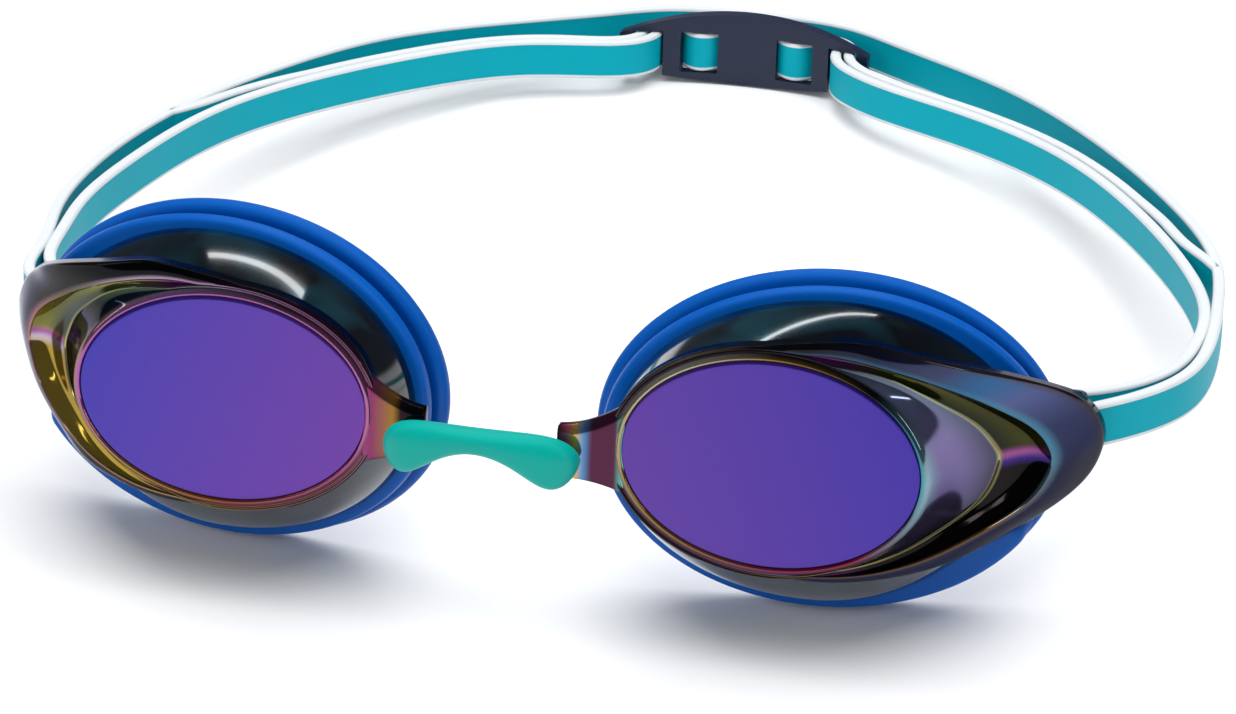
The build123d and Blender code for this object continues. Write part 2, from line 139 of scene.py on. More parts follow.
def grid_piece(name, points, material, closed_rows=False, closed_columns=False, tint=None):
    """Mesh object from a grid of points (rows, columns, 3), with an optional colour for each point.

    Rows and columns may close on themselves, points that coincide are merged, and the faces are turned
    so that the enclosed volume is positive, which makes the normals point outwards."""
    rows, columns = points.shape[:2]
    i, j = np.meshgrid(np.arange(rows if closed_rows else rows - 1),
                       np.arange(columns if closed_columns else columns - 1), indexing="ij")
    after_i, after_j = (i + 1) % rows, (j + 1) % columns
    quads = np.stack([i * columns + j, i * columns + after_j,
                      after_i * columns + after_j, after_i * columns + j], axis=-1).reshape(-1, 4)
    flat = points.reshape(-1, 3)
    corner = flat[quads] - flat.mean(0)
    volume = (np.einsum("ij,ij->i", corner[:, 0], np.cross(corner[:, 1], corner[:, 2]))
              + np.einsum("ij,ij->i", corner[:, 0], np.cross(corner[:, 2], corner[:, 3]))).sum() / 6
    if volume < 0:
        quads = quads[:, ::-1]
    mesh = bpy.data.meshes.new(name)
    mesh.from_pydata(flat.tolist(), [], quads.tolist())
    if tint is not None:
        coat = mesh.attributes.new("coat", "FLOAT_COLOR", "POINT")
        rgba = np.ones((len(flat), 4), np.float32)
        rgba[:, :3] = np.broadcast_to(tint, points.shape).reshape(-1, 3)
        coat.data.foreach_set("color", rgba.ravel())
    merged = bmesh.new()
    merged.from_mesh(mesh)
    bmesh.ops.remove_doubles(merged, verts=merged.verts, dist=2e-6)
    merged.to_mesh(mesh)
    merged.free()
    mesh.polygons.foreach_set("use_smooth", np.ones(len(mesh.polygons), bool))
    mesh.materials.append(material)
    piece = bpy.data.objects.new(name, mesh)
    bpy.context.scene.collection.objects.link(piece)
    print(name, "faces:", len(mesh.polygons), "volume in mm3:", round(abs(volume) / MM**3))
    return piece


# %% [markdown]
# ## Finishes
# Every finish is a node material. A small function adds a node with its settings and links, so that
# each material reads as a short list. The mirror coat takes its colour from the point colours of the
# mesh. A real thin-film coat changes colour with the slope and with the viewing angle. The colours
# painted along the shape stand in for that, and they don't change with the viewing angle. Some of
# them are painted reflections and painted highlights, as noted where they are given.


# %% Node helper
def new_material(name):
    """Empty node material, as (material, add)."""
    material = bpy.data.materials.new(name)
    material.use_nodes = True
    tree = material.node_tree
    tree.nodes.clear()

    def add(kind, links=(), **values):
        node = tree.nodes.new(kind)
        for key, value in values.items():
            if hasattr(node, key) and not key[0].isupper():
                setattr(node, key, value)
            else:
                node.inputs[key.replace("_", " ")].default_value = value
        for source, socket in links:
            tree.links.new(source, node.inputs[socket])
        return node

    return material, add


def finish_with(add, shader):
    """Joins a shader to the material's output."""
    add("ShaderNodeOutputMaterial", [(shader.outputs[0], "Surface")])


# %% Silicone
def silicone(name, colour, roughness, specular=0.22, from_points=False):
    """Satin silicone with a fine surface grain; the colour is one hex value or the point colours."""
    material, add = new_material(name)
    place = add("ShaderNodeTexCoord")
    grain = add("ShaderNodeTexNoise", [(place.outputs["Object"], "Vector")], Scale=2500.0, Detail=2.0)
    bump = add("ShaderNodeBump", [(grain.outputs[0], "Height")], Strength=0.06, Distance=0.0001)
    cloud = add("ShaderNodeTexNoise", [(place.outputs["Object"], "Vector")], Scale=60.0, Detail=1.0)
    tone = add("ShaderNodeMapRange", [(cloud.outputs[0], "Value")], To_Min=0.95, To_Max=1.05)
    if from_points:
        base = add("ShaderNodeAttribute", attribute_name="coat").outputs["Color"]
        shade = add("ShaderNodeHueSaturation", [(tone.outputs[0], "Value"), (base, "Color")])
    else:
        shade = add("ShaderNodeHueSaturation", [(tone.outputs[0], "Value")], Color=(*linear(colour), 1))
    shader = add("ShaderNodeBsdfPrincipled", [(shade.outputs[0], "Base Color"), (bump.outputs[0], "Normal")],
                 Roughness=roughness)
    shader.inputs["Specular IOR Level"].default_value = specular
    finish_with(add, shader)
    return material


# %% Mirror coat
def mirror_coat(name, metallic, roughness, cloudy, gloss, rim=1.0):
    """Hard mirror coat over polycarbonate: point colours, teal clouds if asked for, and a clear gloss."""
    material, add = new_material(name)
    place = add("ShaderNodeTexCoord")
    base = add("ShaderNodeAttribute", attribute_name="coat").outputs["Color"]
    cloud = add("ShaderNodeTexNoise", [(place.outputs["Object"], "Vector")], Scale=95.0, Detail=1.5,
                Distortion=0.6)
    edge = add("ShaderNodeMapRange", [(cloud.outputs[0], "Value")], From_Min=0.46, From_Max=0.68,
               To_Min=0.0, To_Max=cloudy)
    glow = add("ShaderNodeMix", [(edge.outputs[0], "Factor"), (base, 6)], data_type="RGBA",
               blend_type="SCREEN")
    glow.inputs[7].default_value = (0.006, 0.042, 0.056, 1)
    shader = add("ShaderNodeBsdfPrincipled", [(glow.outputs[2], "Base Color")], Metallic=metallic,
                 Roughness=roughness)
    shader.inputs["Coat Weight"].default_value = gloss
    shader.inputs["Specular Tint"].default_value = (rim, rim, min(1.0, rim * 1.3), 1)
    shader.inputs["Coat Roughness"].default_value = 0.03
    finish_with(add, shader)
    return material


# Gasket: satin blue silicone. Bridge: satin sea-green silicone. Strap: teal faces with white edges.
blue_silicone = silicone("blue_silicone", "0050a4", 0.42)
green_silicone = silicone("sea_green_silicone", "009c90", 0.38)
strap_silicone = silicone("teal_and_white_silicone", "ffffff", 0.5, specular=0.1, from_points=True)
# Frame: dark mirror coat with colour at the edges. Lens: violet mirror coat.
frame_coat = mirror_coat("dark_mirror_coat", 0.85, 0.1, 0.0, 0.12, rim=0.3)
wall_coat = mirror_coat("smoky_mirror_coat", 0.5, 0.1, 1.0, 0.35)
lens_coat = mirror_coat("violet_mirror_coat", 0.75, 0.13, 0.0, 0.2)

# %% [markdown]
# ## Eye cup: swept front of the frame
# The front of the frame is a closed shell round the oval lens. It is drawn in polar form about the
# lens centre: closed curves (lens edge, inner ridge, outer ridge of the groove, outer edge) each give
# a radius and a depth for every angle, and the rows of the grid run from one curve to the next. The
# space before the inner ridge sinks as a crescent, and the space between the ridges is a groove.

# %% Curves of the frame, right cup
LENS_HALF_WIDTH, LENS_HALF_HEIGHT, LENS_X = 18.2, 13.12, 34.0
COLUMNS = 540
turn = np.linspace(-math.pi, math.pi, COLUMNS, endpoint=False)
lens_radius = 1 / np.hypot(np.cos(turn) / LENS_HALF_WIDTH, np.sin(turn) / LENS_HALF_HEIGHT)
SHELL = 1.7          # thickness of the front shell, along the depth
FRONT_TONE, WALL_TONE, LENS_TONE = 0.48, 0.3, 0.58      # darkens each coat, chosen for this lighting

# Measured points, corrected: (x from the lens centre, height, depth), from the top round the
# temple end to the bottom
inner_ridge = [[(1, 13.5, 0.2), (7, 13.2, 0.3), (12.6, 12.4, 0.9), (19, 8.1, 5.6), (23.4, 2.9, 12.0),
                (25.4, -1.1, 15.0)],
               [(25.4, -1.1, 15.0), (24.4, -4.9, 13.4), (20.6, -8.1, 8.6), (15.2, -10.9, 3.9),
                (8, -12.9, 0.9), (1, -13.6, 0.2)]]
outer_ridge = [[(1, 13.9, 0.3), (7, 14.3, 0.6), (12.6, 13.2, 1.5), (18.9, 10.2, 5.5), (26, 5.3, 12.4),
                (30.4, 0.5, 16.9), (31.3, -2.2, 18.1)],
               [(31.3, -2.2, 18.1), (30.1, -5.2, 17.0), (25.4, -8.6, 11.2), (19, -11.3, 5.4),
                (11, -13.3, 1.6), (1, -13.9, 0.3)]]
outer_edge = [[(-17.6, 6.6, 0.6), (-12.1, 10.5, 0.5), (-6.9, 13.0, 0.4), (-1.6, 14.7, 0.4),
               (5, 15.8, 0.5), (10, 16.1, 1.0), (14, 15.2, 2.1), (23.7, 11.7, 8.2), (28.2, 8.9, 14.0),
               (31.6, 5.7, 20.6), (34.2, 2.9, 24.6), (35.7, 0, 26.6)],
              [(35.7, 0, 26.6), (36.0, -3.0, 27.6), (35.0, -6.4, 27.0), (32.3, -8.9, 22.8),
               (28.8, -10.5, 18.0), (24.4, -12.0, 12.2), (19.9, -13.2, 7.2), (14.9, -14.2, 4.4),
               (9.9, -14.7, 2.4), (3, -14.6, 1.0), (-8, -12.5, 0.5)]]


def round_the_lens(halves, margin):
    """Radius and depth at every angle of a curve given by its upper and lower half.

    Where the halves don't reach, the curve runs round the lens edge at the margin."""
    path = np.concatenate([smooth_path(half, 400) for half in halves])
    angle = np.arctan2(path[:, 1], path[:, 0])
    order = np.argsort(angle)
    reach = np.hypot(path[:, 0], path[:, 1])[order]
    inside = (turn >= angle.min()) & (turn <= angle.max())
    radius = np.where(inside, np.interp(turn, angle[order], reach), 0)
    depth = np.where(inside, np.interp(turn, angle[order], path[order, 2]), 0.2)
    radius = np.maximum(radius, lens_radius + margin)
    blur = np.exp(-0.5 * (np.arange(-12, 13) / 2.2) ** 2)
    wrap = lambda a: np.convolve(np.concatenate([a[-12:], a, a[:12]]), blur / blur.sum(), mode="valid")
    return wrap(radius), np.maximum(wrap(depth), 0.2)


ridge_r, ridge_d = round_the_lens(inner_ridge, 1.05)
groove_r, groove_d = round_the_lens(outer_ridge, 1.25)
edge_r, edge_d = round_the_lens(outer_edge, 1.6)
groove_r = np.maximum(groove_r, ridge_r + 0.15)
edge_r = np.maximum(edge_r, groove_r + 0.3)
print("frame reaches", round((edge_r * np.cos(turn)).max(), 1), "mm out from the lens centre")

# %% [markdown]
# The rows between two curves are a mix of both plus a sag: a smooth hump of the share across, so the
# crescent and the groove sink most where they are widest. Each row also gets its colour: coat colour,
# with a few painted highlights and reflections. Colours are given at a few angles round the lens and
# mixed in between, as the coat flows from one to the next.


# %% Rows and colours of the shell
def around(keys):
    """Colour at every column from {angle in degrees: hex}, mixed between the keys and round the lens."""
    degrees = sorted(keys)
    table = np.array([linear(keys[d]) for d in degrees])
    at = np.degrees(turn)
    return np.stack([np.interp(at, degrees, table[:, c], period=360) for c in range(3)], axis=-1)


def mixed(a, b, share):
    """Mix of two colour columns, by a share that may differ from column to column."""
    return a * (1 - np.asarray(share)[..., None]) + b * np.asarray(share)[..., None]


def band_between(r0, d0, r1, d1, shares, sag, skew=1.0):
    """Rows of (share, radius, depth) across a zone, sunk by sag times its width in a sine hump."""
    width = np.hypot(r1 - r0, d1 - d0)
    return [(t, r0 + (r1 - r0) * t, d0 + (d1 - d0) * t + sag * width * math.sin(math.pi * t**skew))
            for t in shares]


# Colours round the lens: for each zone the right cup, then the left cup, at angles in degrees. Mostly
# coat colour. The pale rim and lip keys at 140 degrees on the right cup are a painted highlight, and
# the grey wing key at -8 degrees on the left cup is a painted reflection.
COATS_AND_PAINTED_HIGHLIGHTS = {
    "rim": ({-150: "c89a50", -90: "b0406a", -45: "a8284e", 0: "57b6c8", 40: "1c1a20", 90: "b08a3a",
             140: "e8dcb8"},
            {-150: "d06a9a", -90: "c0683a", -40: "d8a05a", 0: "d07ad0", 60: "c878c8", 120: "d080b8",
             170: "e090c8"}),
    "lip": ({-150: "6a6458", -90: "6a4a66", -45: "7a5a7a", 0: "a8d0dc", 40: "15131a", 90: "2c2226",
             140: "f0ead8"},
            {-150: "2a2a30", -90: "803860", -40: "b08a40", 0: "d8b060", 60: "c8a8d8", 120: "2a2226",
             170: "a05a80"}),
    "pale": ({-120: "6a5068", -60: "6a5c7c", -20: "786a9a", 10: "8c7eb0", 40: "8292ae", 70: "2e2a30",
              100: "1a161b"},
             {-120: "8a5a50", -60: "6a5430", -20: "1c2028", 10: "141a26", 40: "1a2838", 80: "3a5458",
              120: "80507a"}),
    "dusk": ({-120: "3a3038", -60: "4a434e", -30: "3a4446", 0: "55506a", 30: "6e7c96", 60: "4a4a52",
              100: "1a161b"},
             {-120: "583a36", -60: "4a3c14", -20: "14161c", 10: "0e141e", 40: "3a4a30", 80: "4a6a50",
              120: "70406a"}),
    "crest": ({-120: "8a4a60", -60: "b8a860", 0: "d8cc90", 30: "c8d0a8", 60: "50484a", 100: "3a2c30"},
              {-120: "c88a70", -60: "e0c860", 0: "e8d890", 40: "90a060", 90: "e0b8d8", 140: "c080b0"}),
    "outer_line": ({-120: "3a3a48", -60: "7a5a4a", -20: "8a6a40", 0: "5aa0c0", 20: "5a98b8", 50: "407090",
                    100: "3a3032"},
                   {-120: "c08a90", -60: "d8c070", 0: "d8a0a0", 20: "a8a070", 50: "e0c0e0", 100: "c090c0"}),
    "wing": ({-150: "4c505a", -90: "444c66", -50: "3c4464", -25: "2c3050", -8: "262c48", 4: "38406a",
              14: "6470a8", 22: "3a78b0", 32: "4a5278", 50: "2c3450", 75: "262226", 100: "2c2422",
              130: "a89a84", 170: "584e48"},
             {-150: "4a4c54", -90: "46464e", -50: "a06a70", -30: "4a3a40", -8: "5a5a62", 8: "303238",
              25: "121418", 50: "181c20", 75: "1a1c20", 100: "502a48", 140: "6a2a5c", 170: "8a4070"}),
}


def shell_piece(side):
    """Front shell of one cup, mirrored for the left side, with its own play of colours."""
    right = side > 0
    height_at = lambda r: r * np.sin(turn)
    mine = 0 if right else 1
    rim, lip, pale, dusk, crest, outer_line, wing = (around(pair[mine]) for pair in COATS_AND_PAINTED_HIGHLIGHTS.values())
    # painted shade: the left cup's wing is painted darker than the same coat on the right
    shade = 1.0 if right else 0.55
    brown = around({-90: "3a3c48", -10: "2a2022", 20: "6a5a50", 60: "120f12", 120: "30282a"})
    rows, tints = [], []

    def put(radius, depth, tint):
        rows.append((radius, depth))
        tints.append(np.broadcast_to(tint, (COLUMNS, 3)))

    put(lens_radius - 0.02, np.full(COLUMNS, 0.3), rim)
    put(lens_radius + 0.05, np.full(COLUMNS, -0.12), rim)
    put(lens_radius + 0.25, np.full(COLUMNS, -0.2), rim)
    put(lens_radius + 0.5, np.full(COLUMNS, -0.08), mixed(rim, lip, np.full(COLUMNS, 0.6)))
    start_r, start_d = lens_radius + 0.8, np.full(COLUMNS, 0.2)
    put(start_r, start_d, lip)
    for t, radius, depth in band_between(start_r, start_d, ridge_r, ridge_d,
                                         np.linspace(0.06, 0.94, 14), 0.1):
        tone = mixed(pale, dusk, np.full(COLUMNS, np.clip((t - 0.45) * 2.2, 0, 1)))
        put(radius, depth, mixed(lip, tone * 1.25, np.full(COLUMNS, np.clip(t * 6, 0, 1))))
    put(ridge_r - 0.06, ridge_d + 0.0, crest)
    put(ridge_r + 0.02, ridge_d - 0.08, crest)
    put(ridge_r + 0.12, ridge_d + 0.03, crest * 0.5)
    # On the left cup the bright gold below the middle of the groove is a painted highlight.
    above, below = ("63601c", "17100e") if right else ("b4b050", "e0bc48")
    near_above = "1c2414" if right else "5a6a50"
    line, line_low = ("c46aae", "4a2f96") if right else ("d060d0", "f4e0f0")
    for t, radius, depth in band_between(ridge_r + 0.16, ridge_d + 0.05, groove_r, groove_d,
                                         np.linspace(0.05, 0.95, 16), 0.2, 1.15):
        z = height_at(radius)
        upper = mixed(linear(near_above)[None], linear(above)[None], np.full(COLUMNS, t))
        tone = mixed(np.broadcast_to(linear(below), (COLUMNS, 3)), upper, np.clip((z + 0.9) / 0.8, 0, 1))
        strip = mixed(np.broadcast_to(linear(line_low), (COLUMNS, 3)),
                      np.broadcast_to(linear(line), (COLUMNS, 3)), np.clip((z + 1.9) / 0.9, 0, 1))
        tone = mixed(tone, strip, np.clip(1.35 - np.abs(z + 1.5) / 1.0, 0, 1) * (np.cos(turn) > 0.5))
        violet = np.broadcast_to(linear("6a2a70"), (COLUMNS, 3))
        tone = mixed(tone, violet, np.clip((np.abs(np.degrees(turn)) - 45) / 20, 0, 1))
        put(radius, depth, tone)
    put(groove_r - 0.06, groove_d + 0.0, outer_line)
    put(groove_r + 0.04, groove_d - 0.1, outer_line)
    for t, radius, depth in band_between(groove_r + 0.1, groove_d - 0.1, edge_r, edge_d,
                                         np.linspace(0.08, 0.97, 12), -0.07):
        put(radius, depth, mixed(mixed(outer_line, wing * shade, np.full(COLUMNS, min(1, t * 4))), brown,
                                 np.full(COLUMNS, max(0, t * 5 - 4.2))))
    put(edge_r + 0.02, edge_d + 0.35, brown)
    radius = np.array([r for r, _ in rows])
    depth = np.array([d for _, d in rows])
    tint = np.array(tints)
    # the back of the shell is the same surface, one thickness further back
    radius = np.concatenate([radius, radius[::-1]])
    depth = np.concatenate([depth, depth[::-1] + SHELL])
    tint = np.concatenate([tint, tint[::-1] * 0 + linear("20242c")])
    x = side * (LENS_X + radius * np.cos(turn))
    points = to_row(x, depth, radius * np.sin(turn))
    name = "right_front" if right else "left_front"
    return grid_piece(name, points, frame_coat, closed_rows=True, closed_columns=True, tint=tint * FRONT_TONE)


fronts = {side: shell_piece(side) for side in (1, -1)}

# %% [markdown]
# ## Eye cup: wall and lens
# The wall is a hollow ring between the lens and the gasket. Its outline grows from the lens oval to the
# bigger, lower and slightly turned oval of the gasket, and swells a little in between, as moulded cups
# do. At the temple it is held back so that it stays behind the swept front.

# %% Gasket frame, cup wall and lens
GASKET_YAW, GASKET_OUT, GASKET_DROP, CUP_DEPTH = math.radians(8.4), 4.4, 3.0, 14.3
SEAT_HALF = np.array([26.3, 19.4])
GASKET_HALF = np.array([27.7, 20.7])


# Near its middle height the front's back face lies at about these depths, at these distances outwards.
# The depths are right to about 2 mm.
BACK_OF_FRONT = [2.4, 3.9, 9.0, 13.5, 15.9, 20.2, 21.5, 29.0]
REACH_BEHIND = [8.0, 11.6, 18.2, 22.7, 25.1, 29.3, 30.4, 35.0]


def behind_front(x, depth):
    """x held in to where the swept front stands before the depth, read from the two lists above."""
    return np.minimum(x, np.interp(depth, BACK_OF_FRONT, REACH_BEHIND))


def covered(height, reach):
    """How far a height lies behind the swept front: 1 in the middle of it, falling to 0 at the reach."""
    share = np.clip((reach - np.abs(height + 2.4)) / 3.5, 0, 1)
    return share * share * (3 - 2 * share)


def gasket_frame(across, back, up):
    """Lens-frame x from the lens centre, depth and height of points in the turned frame of the gasket."""
    x = GASKET_OUT + across * math.cos(GASKET_YAW) - back * math.sin(GASKET_YAW)
    depth = CUP_DEPTH + across * math.sin(GASKET_YAW) + back * math.cos(GASKET_YAW)
    return x, depth, -GASKET_DROP + up


# Colours round the cup wall, right and left, at angles in degrees: coat colour partly painted as
# reflection, near-black at the top and lighter blue-grey low down
WALL_COATS_AND_REFLECTIONS = ({-150: "23262e", -90: "4a5264", -45: "3c4456", 0: "20262c", 30: "45506a", 45: "1c3440",
               60: "0c1a24", 90: "0a1822", 115: "10222c", 135: "2c2c34", 165: "15141a"},
              {-150: "3a3e4a", -90: "4a4c54", -45: "30323a", 0: "20262c", 40: "0e1c26", 70: "103040",
               95: "0c1a22", 120: "14181e", 150: "262a34", 170: "2a3a40"})


def wall_piece(side):
    """Hollow wall: outer rows from front to back, then inner rows back to the front, closed on itself."""
    rows, tints = [], []
    dark = around(WALL_COATS_AND_REFLECTIONS[0 if side > 0 else 1])
    outward, down = np.clip(np.cos(turn), 0, 1), np.clip(-np.sin(turn), 0, 1)
    drawn_in = 1 - 0.24 * outward**2 * down - 0.1 * outward**2 * np.clip(np.sin(turn), 0, 1)
    for inner in (False, True):
        shares = np.linspace(0, 1, 26)
        for s in (shares[::-1] if inner else shares):
            swell = 1 - (1 - s) ** 1.45
            less = 1.3 if inner else 0.0
            front_x = (LENS_HALF_WIDTH + 1.0 - less) * np.cos(turn)
            front_z = (LENS_HALF_HEIGHT + 1.0 - less) * np.sin(turn)
            back = gasket_frame((SEAT_HALF[0] - less) * drawn_in * np.cos(turn), 0.0,
                                (SEAT_HALF[1] - less) * drawn_in * np.sin(turn))
            depth = 1.1 + (back[1] - 1.1) * s
            x = front_x + (back[0] - front_x) * swell
            height = front_z + (back[2] - front_z) * swell
            x = x + (behind_front(x, depth) - x) * covered(height, 14.5)
            rows.append((x, depth, height))
            # painted reflection: the lower part of the wall grows lighter towards the gasket, and the rest is
            # darkened
            lower = np.clip(-np.sin(turn), 0, 1)
            tints.append(dark * (0.75 + 0.6 * s * lower)[:, None])
    x, depth, height = (np.array(part) for part in zip(*rows))
    points = to_row(side * (LENS_X + x), depth, height)
    return grid_piece("right_wall" if side > 0 else "left_wall", points, wall_coat, closed_rows=True,
                      closed_columns=True, tint=np.array(tints) * WALL_TONE)


def lens_piece(side):
    """Flat oval pane with a rounded edge: rows run from the middle of the face over the edge to the back."""
    shares = np.concatenate([np.linspace(0, 0.985, 24), [0.994, 0.998, 0.998, 0.994],
                             np.linspace(0.985, 0, 6)])
    depth = np.concatenate([np.zeros(24), [0.05, 0.2, 1.3, 1.45], np.full(6, 1.5)])[:, None]
    across = shares[:, None] * LENS_HALF_WIDTH * np.cos(turn)
    up = shares[:, None] * LENS_HALF_HEIGHT * np.sin(turn)
    lean = np.clip(0.5 + (across + 0.35 * up) / (2.1 * LENS_HALF_WIDTH), 0, 1)
    near_nose, outer = (("6a3fb0", "4630b4") if side > 0 else ("7a40b4", "4a3fc0"))
    tint = mixed(linear(near_nose), linear(outer), lean)
    points = to_row(side * (LENS_X + across), depth + 0 * across, up)
    return grid_piece("right_pane" if side > 0 else "left_pane", points, lens_coat, closed_columns=True,
                      tint=tint * LENS_TONE)


walls = {side: wall_piece(side) for side in (1, -1)}
panes = {side: lens_piece(side) for side in (1, -1)}

# %% [markdown]
# ## Gaskets
# A gasket is one soft ring: a front flange, a neck and a slightly bigger rear flange. It is a closed
# profile carried round an oval. The profile's corners are rounded by running it through a spline.

# %% Gasket rings
def gasket_piece(side):
    """Closed profile (outwards, backwards) carried round the oval of the gasket, held behind the front."""
    profile = np.array([(-6.6, -0.6), (-3.4, -0.5), (-1.2, -0.1), (-0.25, 0.15), (0, 0.9), (-0.05, 1.7),
                        (-0.4, 2.2), (-1.9, 2.45), (-2.3, 3.0), (-1.9, 3.6), (0.2, 3.8), (0.75, 4.3),
                        (0.9, 5.0), (0.65, 5.7), (0, 6.0), (-2.5, 6.0), (-5.2, 5.6), (-6.3, 4.8),
                        (-6.7, 3.0), (-6.9, 1.0)])
    loop = smooth_path(np.vstack([profile[-3:], profile, profile[:4]]), 216)[24:-32]
    across = (GASKET_HALF[0] + loop[:, :1]) * np.cos(turn)
    up = (GASKET_HALF[1] + loop[:, :1]) * np.sin(turn)
    x, depth, height = gasket_frame(across, loop[:, 1:], up)
    x = x + (behind_front(x, depth) - x) * covered(height, 11.2)
    points = to_row(side * (LENS_X + x), depth, height)
    return grid_piece("right_seal" if side > 0 else "left_seal", points, blue_silicone, closed_rows=True,
                      closed_columns=True)


seals = {side: gasket_piece(side) for side in (1, -1)}

# %% [markdown]
# ## Nose bridge and its brackets
# The bridge is a soft bowed bar, deeper at its ends. Rounded cross-sections are strung along x and
# shrink to a point at each end. The bracket is the hard tongue that runs from the rim towards the
# bridge. Here the bar stands about 1.5 mm clear of both brackets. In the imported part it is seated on
# them with pegs.

# %% Nose bridge
def superellipse(count, power):
    """Unit closed loop between a circle (power 2) and a square (high power), as (cos-like, sin-like)."""
    a = np.linspace(0, 2 * math.pi, count, endpoint=False)
    c, s = np.cos(a), np.sin(a)
    return np.sign(c) * np.abs(c) ** (2 / power), np.sign(s) * np.abs(s) ** (2 / power)


def lofted(x, top, bottom, front, back, power, count=64):
    """Grid of rounded sections strung along x, from bottom to top height and from front to back depth."""
    c, s = superellipse(count, power)
    middle_z, half_z = (top + bottom)[:, None] / 2, (top - bottom)[:, None] / 2
    middle_d, half_d = (front + back)[:, None] / 2, (back - front)[:, None] / 2
    return x[:, None] + 0 * c, middle_d - half_d * c, middle_z + half_z * s


BRIDGE_HALF = 12.0
lean = np.sin(np.linspace(-math.pi / 2, math.pi / 2, 97))
bridge_x = BRIDGE_HALF * lean
share = np.abs(lean)
close = np.sqrt(np.clip(1 - share**7, 0, 1))
top_line = np.interp(share, [0, 0.3, 0.6, 0.85, 1], [2.3, 2.35, 2.3, 2.0, 1.7])
low_line = np.interp(share, [0, 0.2, 0.4, 0.6, 0.72, 0.86, 1], [-0.4, -0.8, -2.0, -3.8, -4.8, -4.9, -4.5])
smooth = np.exp(-0.5 * (np.arange(-10, 11) / 4) ** 2)
low_line = np.convolve(np.pad(low_line, 10, mode="edge"), smooth / smooth.sum(), mode="valid")
top_line = np.convolve(np.pad(top_line, 10, mode="edge"), smooth / smooth.sum(), mode="valid")
middle_line = (top_line + low_line) / 2
bow = -1.6 * (1 - share**2)
x, depth, height = lofted(bridge_x, middle_line + (top_line - middle_line) * close,
                          middle_line - (middle_line - low_line) * close,
                          bow - 2.6 - 3.5 * (0.3 + 0.7 * close), bow - 2.2, 2.7)
bridge = grid_piece("bridge_bar", to_row(x - 0.5, depth, height), green_silicone, closed_columns=True)


# %% Brackets
def bracket_piece(side):
    """Hard tongue from the nose edge of the rim towards the bridge, flared towards the rim."""
    t = np.concatenate([[0], np.linspace(0, 1, 28), [1]])
    gap = np.concatenate([[0], np.ones(28), [0]])
    x = LENS_X - LENS_HALF_WIDTH - 0.3 - t * 7.2 + 0.8 * (1 - t)
    top = 5.6 - 3.4 * np.sin(t * math.pi / 2) ** 0.8
    bottom = -6.4 + 1.9 * np.sin(t * math.pi / 2) ** 0.8
    middle = (top + bottom) / 2
    front = 0.1 - 1.5 * t**1.2
    x, depth, height = lofted(x, middle + (top - middle) * gap, middle - (middle - bottom) * gap,
                              front + (1 - gap), front + 0.9 + 1.5 * gap, 4.5)
    bands = (["58b0a4", "4a2038", "4a2038", "4a80b0", "c8a040", "b05070", "2a1a20"] if side > 0 else
             ["8a3a70", "7a3058", "8a6420", "201018", "101014", "0c0e12", "0a0c10"])
    band_at = [0, 0.15, 0.5, 0.62, 0.74, 0.86, 1]
    tint = np.stack([np.interp(t, band_at, [linear(k)[c] for k in bands]) for c in range(3)], axis=-1)
    name = "right_bracket" if side > 0 else "left_bracket"
    return grid_piece(name, to_row(side * x, depth, height), frame_coat, closed_columns=True,
                      tint=tint[:, None] + np.zeros((1, 64, 3)))


brackets = {side: bracket_piece(side) for side in (1, -1)}

# %% [markdown]
# ## Strap posts
# Behind the temple end, two lugs hold a small post, and the strap turns round it. Each lug is a flat
# plate with a softened edge, drawn as a loop that grows from a point, stands up, and closes again. Here
# the lugs stand about 2 mm clear of the front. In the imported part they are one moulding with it.

# %% Lugs and posts
POST_X, POST_DEPTH, POST_HEIGHT, POST_RADIUS = 65.8, 32.0, -2.0, 1.3


def standing(loop, low, high, soften):
    """Grid of a flat-ended piece: the closed loop (x, depth) stands between two heights, edges softened."""
    centre = loop.mean(0)
    levels = [(0, low), (1 - soften, low), (1, low + 0.25), (1, high - 0.25), (1 - soften, high), (0, high)]
    parts = [np.column_stack([centre + (loop - centre) * size, np.full(len(loop), z)]) for size, z in levels]
    return np.array(parts)


def post_pieces(side):
    """Two lugs and the post between them."""
    corner = np.array([(-5.6, -8.6), (-0.4, -6.4), (0.9, 0.3), (0.3, 1.0), (-0.9, 0.9), (-2.0, -1.6),
                       (-5.0, -5.0)])
    loop = smooth_path(np.vstack([corner[-2:], corner, corner[:3]]), 120)[20:-22] + (POST_X, POST_DEPTH)
    made = []
    for low, high, part in ((2.95, 3.75, "upper"), (-3.75, -2.95, "lower")):
        grid = standing(loop, POST_HEIGHT + low, POST_HEIGHT + high, 0.1)
        made.append((grid, f"lug_{part}"))
    a = np.linspace(0, 2 * math.pi, 32, endpoint=False)
    circle = np.column_stack([POST_X + POST_RADIUS * np.cos(a), POST_DEPTH + POST_RADIUS * np.sin(a)])
    made.append((standing(circle, POST_HEIGHT - 3.5, POST_HEIGHT + 3.5, 0.1), "post"))
    word = "right" if side > 0 else "left"
    dark = np.broadcast_to(linear("1b2028"), (1, 1, 3))
    return [grid_piece(f"{word}_{part}", to_row(side * grid[..., 0], grid[..., 1], grid[..., 2]), frame_coat,
                       closed_columns=True, tint=dark) for grid, part in made]


posts = {side: post_pieces(side) for side in (1, -1)}
